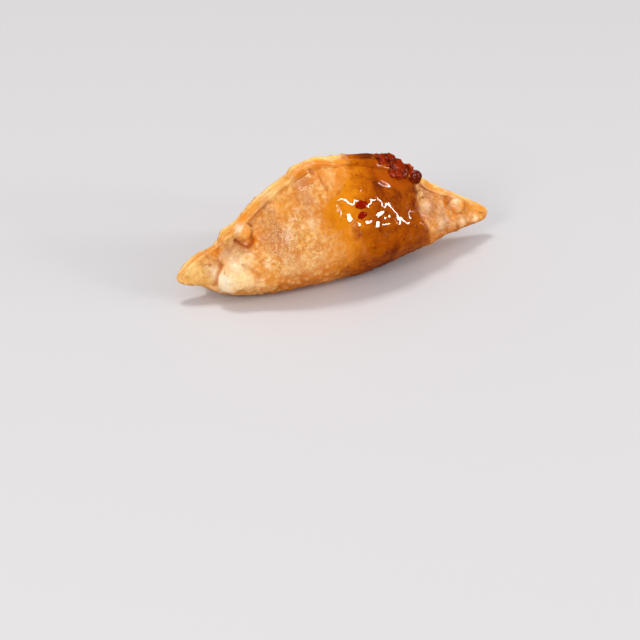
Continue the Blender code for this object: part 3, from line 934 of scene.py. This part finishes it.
# the band under the belly: the browned base and painted shade where it turns under
searedAndShaded = between(share + 0.03 * noiseAt(base, 3.0, seed=54), *look["searedShadeBand"])
searedAndShaded = searedAndShaded * between(x, *look["searedShadeFrom"])
tints["searedAndShaded"] = np.maximum(tints["searedAndShaded"], bySide(sides, *strength["searedShadeBand"]) * searedAndShaded)
# the lips' rims painted paler: a painted highlight
tints["lip"] = strength["lip"] * lipHighlight * follow(x, look["lipHighlightAlong"])
# painted shade: the deeper creases are darkened in the colour
tints["creaseShade"] = np.clip(reliefs["creaseShade"] - look["creaseShadeFrom"], 0, 1) * strength["creaseShade"]
# the pits darkened in the colour: painted shade in the dents
tints["pit"] = between(reliefs["pit"], 0.0, 0.1)
# the raised pimples painted paler: partly the blisters' own pale dough, partly painted highlight on the
# bumps
tints["pimple"] = between(reliefs["pimple"], 0.03, 0.13) * (1 - 0.65 * tints["pink"])
tints["stain"] = layers["stain"]
slopeStart, slopeEnd, slopeShade = sauce["darkSlope"]
tints["dark"] = bySide(sides, slopeShade * between(x - 0.3 * z, slopeStart, slopeEnd), sauce["backShade"])
for which, spots in sauce["dark"].items():
    tints["dark"] = np.maximum(tints["dark"], zoneMask(base, sides == which, wobble, spots))
for name, values in tints.items():
    putAttribute(wrapper.data, name, values)
wrapper.data.materials.append(makeDoughMaterial())
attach(wrapper, "root")
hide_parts("gyoza")


# the sauce film over it

sauceLook = {
    "glow": (0.45, 0.080, 0.001, 1),
    "coat": (0.15, 1.0),  # where it has sunk in and where it is wet
    "shader": {
        "Roughness": 0.22,
        "Specular IOR Level": 0.0,
        "Coat IOR": 1.45,
        "Coat Roughness": 0.02,
        "Subsurface Weight": 0.15,
        "Subsurface Radius": (1.0, 0.25, 0.05),
        "Subsurface Scale": 0.0015,
    },
}


def makeSauceMaterial():
    look = sauceLook
    material, tree, shader, coords = startMaterial("sauceGlaze")
    colour = mixColour(tree, attributeNode(tree, "glow"), placeSauceTone(tree, coords, 0.6), look["glow"])
    tree.links.new(colour, shader.inputs["Base Color"])
    wet = attributeNode(tree, "wet")
    tree.links.new(rangeNode(tree, wet, 0.0, 1.0, *look["coat"]), shader.inputs["Coat Weight"])
    setSockets(shader, look["shader"])
    return material


def buildSauce():
    height = reliefs["broad"] + sauce["showThrough"] * reliefs["fine"] + layers["depth"]
    top = easeInside(base + normals * height[:, None])
    under = base + normals * (reliefs["broad"] - sauce["filmFoot"])[:, None]
    bm.verts.ensure_lookup_table()
    film = bmesh.new()
    pairs = {}
    for index in np.flatnonzero(layers["film"] > sauce["filmEnd"]):
        pairs[index] = (film.verts.new(top[index] * mm), film.verts.new(under[index] * mm))
    used = set()
    for face in bm.faces:
        ring = [vert.index for vert in face.verts]
        if all(index in pairs for index in ring):
            film.faces.new([pairs[index][0] for index in ring])
            film.faces.new([pairs[index][1] for index in reversed(ring)])
            used.update(zip(ring, ring[1:] + ring[:1]))
    for a, b in used:
        if (b, a) not in used:
            film.faces.new([pairs[b][0], pairs[a][0], pairs[a][1], pairs[b][1]])
    source = {vert: index for index, pair in pairs.items() for vert in pair}
    bmesh.ops.delete(film, geom=[vert for vert in film.verts if not vert.link_faces], context="VERTS")
    kept = [source[vert] for vert in film.verts]
    mesh = bpy.data.meshes.new("sauce_glaze")
    film.to_mesh(mesh)
    film.free()
    putAttribute(mesh, "dark", tints["dark"][kept])
    putAttribute(mesh, "glow", 0.7 * layers["tongue"][kept])
    putAttribute(mesh, "wet", between(base[kept, 2], *sauce["wetFrom"]))
    mesh.shade_smooth()
    return addObject("sauce_glaze", mesh)


glaze = buildSauce()
glaze.data.materials.append(makeSauceMaterial())
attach(glaze, "root")
print("sauce built:", len(glaze.data.polygons), "faces")


# the chopped chilli on the seam and the two flakes lower down

chilli = {
    "span": (12.2, 20.4),
    "reach": {front: 0.36, back: 0.24},
    "count": 22,
    "radii": (1.0, 1.7),
    "swell": 1.2,
    "pile": 1.6,
    "extraCount": 60,
    "extraRadii": (0.5, 1.1),
    "extraPast": (1.0, 1.4),  # how far the small bits spread past the span
    "extraLift": (0.2, 1.4),
    "lumpy": ((0.24, 1.3), (0.12, 3.4)),  # height and rate of a bit's bumps
    "cutFace": (0.5, 0.85),  # where the knife went and how flat
    "lump": (21.6, 0.14, 2.0, 0.8),  # x, share, radius and thickness, as for the flakes
    "lumpShift": (0, -0.4, 0.2),
    "lumpTone": -1.0,
    "flakeTone": 2.0,
    "flakeLift": 0.15,
    "flakes": ((2.1, 0.497, 1.3, 0.35), (1.4, 0.535, 1.15, 0.35)),
    "voxel": 0.15,
    "grit": ((0.12, 0.8), (0.36, 1.4)),  # height and size
    "softened": {"heap": 3, "flakes": 1},  # rounds of smoothing
    "stretch": 1.5,  # of the flakes
    "seed": 11,
    "drawGap": 42,  # draws passed over after each bit
    "red": (0.37, 0.026, 0.001, 1),
    "dark": (0.13, 0.011, 0.002, 1),
    "bright": (0.58, 0.11, 0.006, 1),
    "purple": (0.14, 0.022, 0.014, 1),
    "flake": (0.26, 0.008, 0.0005, 1),
    "toneRanges": ((0.8, 1.0, "bright"), (0.35, 0.1, "dark"), (-0.2, -0.6, "purple"), (1.2, 1.6, "flake")),
    "shader": {"Roughness": 0.4, "Specular IOR Level": 0.0, "Coat IOR": 1.45, "Coat Roughness": 0.04},
}


def spotOn(x, f, side):
    # a spot on the wrapper, with the front lip as high as the back one
    point = Vector(wrapperPoint(np.array(x), np.array(f), np.array(side)))
    if side == front:
        point.z += float(frontDrop(np.array(x))) * max(0, 1 - f / form["faceEnd"])
    return point * mm


def addBit(target, place, radius, thickness, rng):
    made = bmesh.ops.create_icosphere(target, subdivisions=3, radius=radius * mm)["verts"]
    shift = Vector([rng.uniform(-9, 9) for _ in range(3)])
    cut = Vector([rng.uniform(-1, 1) for _ in range(3)]).normalized()
    cutAt, flatness = chilli["cutFace"]
    for vert in made:
        unit = vert.co / (radius * mm)
        bumps = [height * noise.noise(unit * rate + shift) for height, rate in chilli["lumpy"]]
        point = unit * sum(bumps, 1)
        over = point.dot(cut) - cutAt
        if over > 0:
            point -= cut * over * flatness
        point.z *= thickness
        vert.co = place @ (point * radius * mm)


def blendedTone(tree, centres, place):
    near = tree.find_n(place, 3)
    weights = [1 / (away + 0.2 * mm) ** 3 for _, _, away in near]
    tones = [centres[index][1] for _, index, _ in near]
    return sum(weight * tone for weight, tone in zip(weights, tones)) / sum(weights)


def meltTogether(lumps, name, centres, softened):
    # one wet surface around all the bits, each spot blending the tones of the bits nearest to it
    mesh = bpy.data.meshes.new(name)
    lumps.to_mesh(mesh)
    lumps.free()
    piece = addObject(name, mesh)
    remesh = piece.modifiers.new("remesh", "REMESH")
    remesh.mode = "VOXEL"
    remesh.voxel_size = chilli["voxel"] * mm
    smooth = piece.modifiers.new("smooth", "SMOOTH")
    smooth.factor, smooth.iterations = 0.5, softened
    melted = bpy.data.meshes.new_from_object(piece.evaluated_get(bpy.context.evaluated_depsgraph_get()))
    piece.modifiers.clear()
    piece.data = melted
    bpy.data.meshes.remove(mesh)
    melted.name = name
    tree = kdtree.KDTree(len(centres))
    for index, (centre, tone) in enumerate(centres):
        tree.insert(centre, index)
    tree.balance()
    for vert in melted.vertices:
        grit = sum(noise.noise(vert.co / (size * mm)) * rise for rise, size in chilli["grit"])
        vert.co += vert.normal * grit * mm
    putAttribute(melted, "tone", [blendedTone(tree, centres, vert.co) for vert in melted.vertices])
    melted.shade_smooth()
    return piece


def turnedPlace(x, f, side, lift, rng):
    turn = Euler([rng.uniform(0, math.tau) for _ in range(3)]).to_matrix().to_4x4()
    return Matrix.Translation(spotOn(x, f, side) + Vector((0, 0, lift))) @ turn


def buildChilli():
    rng = random.Random(chilli["seed"])
    lumps = bmesh.new()
    centres = []
    left, right = chilli["span"]
    for index in range(chilli["count"]):
        side = front if index % 3 else back
        x = rng.uniform(left, right)
        f = rng.uniform(0, chilli["reach"][side])
        share = (x - left) / (right - left)
        lift = chilli["pile"] * mm * rng.uniform(0, 0.5 + share) * (1 - f)
        place = turnedPlace(x, f, side, lift, rng)
        radius = rng.uniform(*chilli["radii"]) * chilli["swell"]
        thickness = rng.uniform(0.6, 1.0)
        addBit(lumps, place, radius, thickness, random.Random(index))
        centres.append((place.translation, random.Random(index + 300).random()))
        for _ in range(chilli["drawGap"]):
            rng.random()
    x, f, radius, thickness = chilli["lump"]
    place = Matrix.Translation(spotOn(x, f, front) + Vector(chilli["lumpShift"]) * mm)
    addBit(lumps, place, radius, thickness, random.Random(99))
    centres.append((place.translation, chilli["lumpTone"]))
    small = random.Random(chilli["seed"] + 1)
    pastLeft, pastRight = chilli["extraPast"]
    for index in range(chilli["extraCount"]):
        side = front if index % 2 else back
        x = small.uniform(left - pastLeft, right + pastRight)
        f = small.uniform(0, chilli["reach"][side] - 0.03)
        lift = mm * small.uniform(*chilli["extraLift"])
        place = turnedPlace(x, f, side, lift, small)
        addBit(lumps, place, small.uniform(*chilli["extraRadii"]), small.uniform(0.4, 1.0), small)
        centres.append((place.translation, small.random()))
    return meltTogether(lumps, "chilli_heap", centres, chilli["softened"]["heap"])


def buildFlakes():
    lumps = bmesh.new()
    centres = []
    step = 0.03
    lift = chilli["flakeLift"] * mm
    stretch = Matrix.Scale(chilli["stretch"], 4, (0, 1, 0))
    for index, (x, f, radius, thickness) in enumerate(chilli["flakes"]):
        above, below = spotOn(x, f - step, front), spotOn(x, f + step, front)
        outward = (below - above).cross(Vector((1, 0, 0))).normalized()
        if outward.y > 0:
            outward = -outward
        turn = outward.to_track_quat("Z", "X").to_matrix().to_4x4()
        place = Matrix.Translation((above + below) / 2 + outward * lift) @ turn @ stretch
        addBit(lumps, place, radius, thickness, random.Random(70 + index))
        centres.append((place.translation, chilli["flakeTone"]))
    return meltTogether(lumps, "chilli_flakes", centres, chilli["softened"]["flakes"])


def makeChilliMaterial():
    material, tree, shader, coords = startMaterial("chilliSkin")
    drift = placeGroup(tree, driftGroup, coords, Scale=600.0, Tone_A=chilli["red"], Tone_B=chilli["dark"])
    dots = placeGroup(tree, dotGroup, coords, Scale=1400.0, Share=0.5, Size=0.4)
    tone = attributeNode(tree, "tone")
    colour = drift.outputs["Color"]
    for low, high, name in chilli["toneRanges"]:
        colour = mixColour(tree, rangeNode(tree, tone, low, high), colour, chilli[name])
    tree.links.new(colour, shader.inputs["Base Color"])
    tree.links.new(rangeNode(tree, tone, 1.2, 1.6, 0.6, 0.3), shader.inputs["Coat Weight"])
    setSockets(shader, chilli["shader"])
    addBump(tree, shader, dots.outputs["Height"], 0.00004)
    return material


heap = buildChilli()
flakes = buildFlakes()
chilliMaterial = makeChilliMaterial()
for piece in (heap, flakes):
    piece.data.materials.append(chilliMaterial)
    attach(piece, "root")
    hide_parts("gyoza")
bm.free()
print("chilli built:", len(heap.data.polygons) + len(flakes.data.polygons), "faces")


# floor, light and camera

studio = {
    "floorSize": 3.0,
    "floorPlace": (0, 0.8, 0),
    "floorShader": {"Base Color": (0.66, 0.64, 0.635, 1), "Roughness": 0.6},
    "world": (0.95, 0.95, 1.0, 1),
    "worldStrength": 0.6,
    "worldGloss": 0.06,
    "lamps": (  # place and size in metres, roll in degrees, watts
        ((-0.05, 0.30, 0.85), (0.26, 0.20), 0, 2.9),
        ((0.634, -0.388, 0.303), (0.029, 0.66), 25, 2.0),
        ((0.486, -0.579, 0.260), (0.12, 0.08), -15, 1.0),
        ((-0.66, -0.42, 0.44), (0.26, 0.26), 0, 2.5),
    ),
}
view = {"azimuth": -25.0, "elevation": 29.45, "distance": 0.75, "pixelsPerMm": 3.76,
        "originPixel": (339.0, 269.1), "framePixels": 640, "sensor": 36.0}


def buildWorld():
    # the pale room lights the piece, and is dimmer in its wet reflections
    world = bpy.data.worlds.new("studio")
    world.use_nodes = True
    tree = world.node_tree
    background = tree.nodes["Background"]
    background.inputs["Color"].default_value = studio["world"]
    rays = tree.nodes.new("ShaderNodeLightPath")
    glossy = rays.outputs["Is Glossy Ray"]
    strength = rangeNode(tree, glossy, 0.0, 1.0, studio["worldStrength"], studio["worldGloss"])
    tree.links.new(strength, background.inputs["Strength"])
    bpy.context.scene.world = world


def buildStudio():
    bpy.ops.mesh.primitive_plane_add(size=studio["floorSize"], location=studio["floorPlace"])
    floor = bpy.context.object
    floor.name = "floor"
    material, tree, shader, coords = startMaterial("paleFloor")
    setSockets(shader, studio["floorShader"])
    floor.data.materials.append(material)
    floor.visible_glossy = False  # keeps the floor's glare off the wet sauce
    buildWorld()
    for index, (place, size, roll, watts) in enumerate(studio["lamps"]):
        lamp = bpy.data.lights.new(f"softbox{index}", "AREA")
        lamp.shape = "RECTANGLE"
        lamp.size, lamp.size_y = size
        lamp.energy = watts
        holder = addObject(lamp.name, lamp)
        holder.location = place
        facing = Vector(place).to_track_quat("Z", "Y").to_matrix()
        holder.rotation_euler = (facing @ Matrix.Rotation(math.radians(roll), 3, "Z")).to_euler()


def buildCamera():
    turn, tilt = math.radians(view["azimuth"]), math.radians(view["elevation"])
    forward = Vector((-math.sin(turn) * math.cos(tilt), math.cos(turn) * math.cos(tilt), -math.sin(tilt)))
    right = Vector((math.cos(turn), math.sin(turn), 0))
    up = right.cross(forward)
    middle = view["framePixels"] / 2
    acrossMm = (view["originPixel"][0] - middle) / view["pixelsPerMm"]
    upMm = (middle - view["originPixel"][1]) / view["pixelsPerMm"]
    lens = bpy.data.cameras.new("camera")
    lens.sensor_width = view["sensor"]
    lens.lens = view["pixelsPerMm"] / mm / view["framePixels"] * view["sensor"] * view["distance"]
    camera = addObject("camera", lens)
    camera.location = -right * acrossMm * mm - up * upMm * mm - forward * view["distance"]
    camera.rotation_euler = Matrix((right, up, -forward)).transposed().to_euler()
    bpy.context.scene.camera = camera


buildStudio()
buildCamera()
bpy.context.scene.view_settings.view_transform = "Standard"
print("studio ready")
